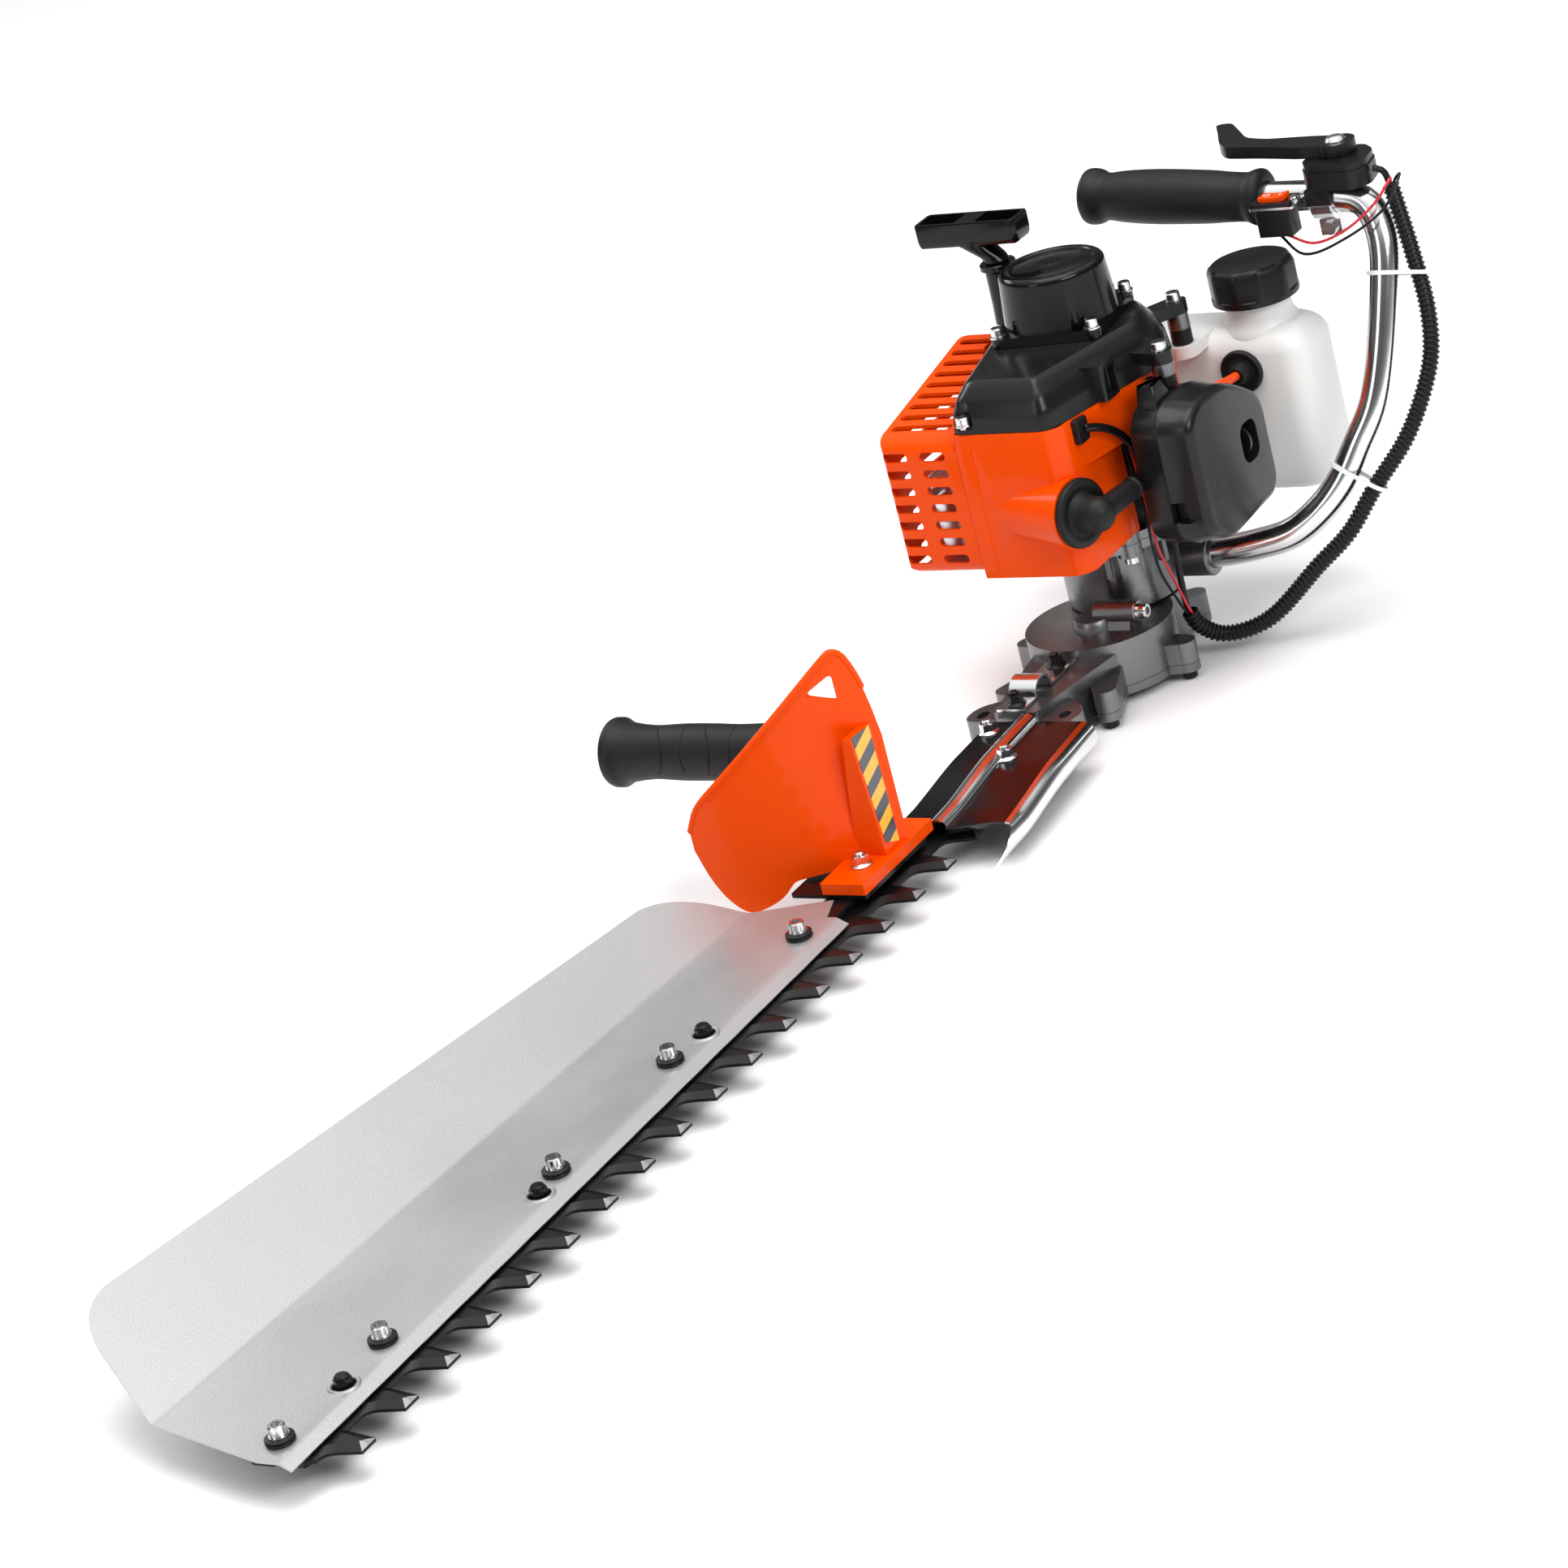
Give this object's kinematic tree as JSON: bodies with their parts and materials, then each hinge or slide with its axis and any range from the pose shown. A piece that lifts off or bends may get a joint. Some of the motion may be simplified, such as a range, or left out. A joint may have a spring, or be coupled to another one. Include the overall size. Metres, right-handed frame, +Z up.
{
  "type": "hedge trimmer",
  "caption": "Petrol hedge trimmer with teeth along one side, a leaf deflector, a hand guard, a vented engine shroud, a recoil starter and two handles.",
  "frame": {"origin": "on the crank axis of the engine, at the flat underside of the gear case", "axes": "+X along the cutter to its tip, +Y to the teeth, +Z up along the crank axis to the starter"},
  "size_m": [1.0424, 0.3502, 0.2659],
  "materials": {
    "orange_plastic": "glossy",
    "black_plastic": "satin",
    "black_gloss": "glossy",
    "black_rubber": "matte",
    "bright_steel": "satin",
    "satin_sheet": "satin",
    "polished_steel": "polished",
    "blade_steel": "satin",
    "cast_aluminium": "cast",
    "white_plastic": "satin",
    "red_sleeve": "satin",
    "fuel_line": "satin"
  },
  "bodies": {
    "frame": {"hand_guard": "orange_plastic", "engine_shroud": "orange_plastic", "muffler_guard": "orange_plastic", "fan_cover": "black_plastic", "air_filter_base": "black_plastic", "air_filter_cover": "black_plastic", "throttle_housing": "black_plastic", "kill_switch": "black_plastic", "starter_housing": "black_gloss", "front_grip": "black_rubber", "rear_grip": "black_rubber", "plug_cap": "black_rubber", "plug_lead": "black_rubber", "cable_conduit": "black_rubber", "throttle_cable": "black_rubber", "kill_wire_black": "black_rubber", "starter_rope": "black_rubber", "deflector_screw_1": "bright_steel", "deflector_screw_2": "bright_steel", "deflector_screw_3": "bright_steel", "deflector_screw_4": "bright_steel", "deflector_screw_5": "bright_steel", "guard_bolt_1": "bright_steel", "guard_bolt_2": "bright_steel", "muffler": "bright_steel", "leaf_deflector": "satin_sheet", "root_cover": "polished_steel", "saddle_strap": "polished_steel", "handle_tube": "polished_steel", "guide_bar": "blade_steel", "blade_bolt_1": "blade_steel", "blade_bolt_2": "blade_steel", "blade_bolt_3": "blade_steel", "front_handle_bracket": "blade_steel", "gear_case": "cast_aluminium", "gear_case_cover": "cast_aluminium", "clutch_housing": "cast_aluminium", "crankcase": "cast_aluminium", "cylinder": "cast_aluminium", "carburettor": "cast_aluminium", "fuel_tank": "white_plastic", "cable_tie_1": "white_plastic", "cable_tie_2": "white_plastic", "kill_wire_red": "red_sleeve", "fuel_hose": "fuel_line"},
    "engine_rotor": {"crankshaft": "bright_steel", "flywheel_fan": "cast_aluminium", "clutch_rotor": "bright_steel"},
    "eccentric": {"eccentric_gear": "bright_steel"},
    "drum": {"clutch_drum": "bright_steel"},
    "upper_cutter": {"upper_blade": "blade_steel", "upper_con_rod": "bright_steel"},
    "lower_cutter": {"lower_blade": "blade_steel", "lower_con_rod": "bright_steel"},
    "pull": {"starter_handle": "black_plastic"},
    "reel": {"starter_reel": "black_plastic"},
    "lever": {"throttle_lever": "black_plastic"},
    "rocker": {"switch_rocker": "orange_plastic"},
    "cap": {"tank_cap": "black_plastic"},
    "knob": {"filter_knob": "black_plastic"}
  },
  "joints": [
    {"name": "crank_spin", "type": "hinge", "parent": "frame", "child": "engine_rotor", "pos_m": [0, 0, 0.1099], "axis": [0, 0, 1], "continuous": true},
    {"name": "gear_spin", "type": "hinge", "parent": "frame", "child": "eccentric", "pos_m": [0.03687, 0, 0.0219], "axis": [0, 0, 1], "continuous": true},
    {"name": "drum_spin", "type": "hinge", "parent": "frame", "child": "drum", "pos_m": [0, 0, 0.0219], "axis": [0, 0, 1], "continuous": true},
    {"name": "upper_blade_slide", "type": "slide", "parent": "frame", "child": "upper_cutter", "axis": [1, 0, 0], "range_m": [-0.00875, 0.00875]},
    {"name": "lower_blade_slide", "type": "slide", "parent": "frame", "child": "lower_cutter", "axis": [1, 0, 0], "range_m": [-0.00875, 0.00875]},
    {"name": "starter_pull", "type": "slide", "parent": "frame", "child": "pull", "axis": [0, 0, 1], "range_m": [0, 0.7], "stiffness_N_per_m": 12, "springref_m": -0.25, "deforming": ["starter_rope"]},
    {"name": "reel_turn", "type": "hinge", "parent": "frame", "child": "reel", "pos_m": [0, 0, 0.2079], "axis": [0, 0, 1], "range_deg": [0, 1910]},
    {"name": "throttle_squeeze", "type": "hinge", "parent": "frame", "child": "lever", "pos_m": [-0.108, 0.134, 0.2539], "axis": [0, 0, 1], "range_deg": [0, 20], "stiffness_Nm_per_rad": 0.4, "springref_deg": -17.19},
    {"name": "switch_rock", "type": "hinge", "parent": "frame", "child": "rocker", "pos_m": [-0.08, 0.1035, 0.2341], "axis": [1, 0, 0], "range_deg": [-8, 8]},
    {"name": "tank_cap_turn", "type": "hinge", "parent": "frame", "child": "cap", "pos_m": [-0.096, 0.071, 0.1799], "axis": [0, 0, 1], "range_deg": [0, 540]},
    {"name": "filter_knob_turn", "type": "hinge", "parent": "frame", "child": "knob", "pos_m": [-0.007, 0.09, 0.1199], "axis": [0, 1, 0], "range_deg": [0, 720]}
  ],
  "couplings": [
    {"joint": "drum_spin", "follows": "gear_spin", "ratio": -4.3636},
    {"joint": "lower_blade_slide", "follows": "upper_blade_slide", "ratio": -1},
    {"joint": "reel_turn", "follows": "starter_pull", "rad_per_m": 47.619}
  ]
}
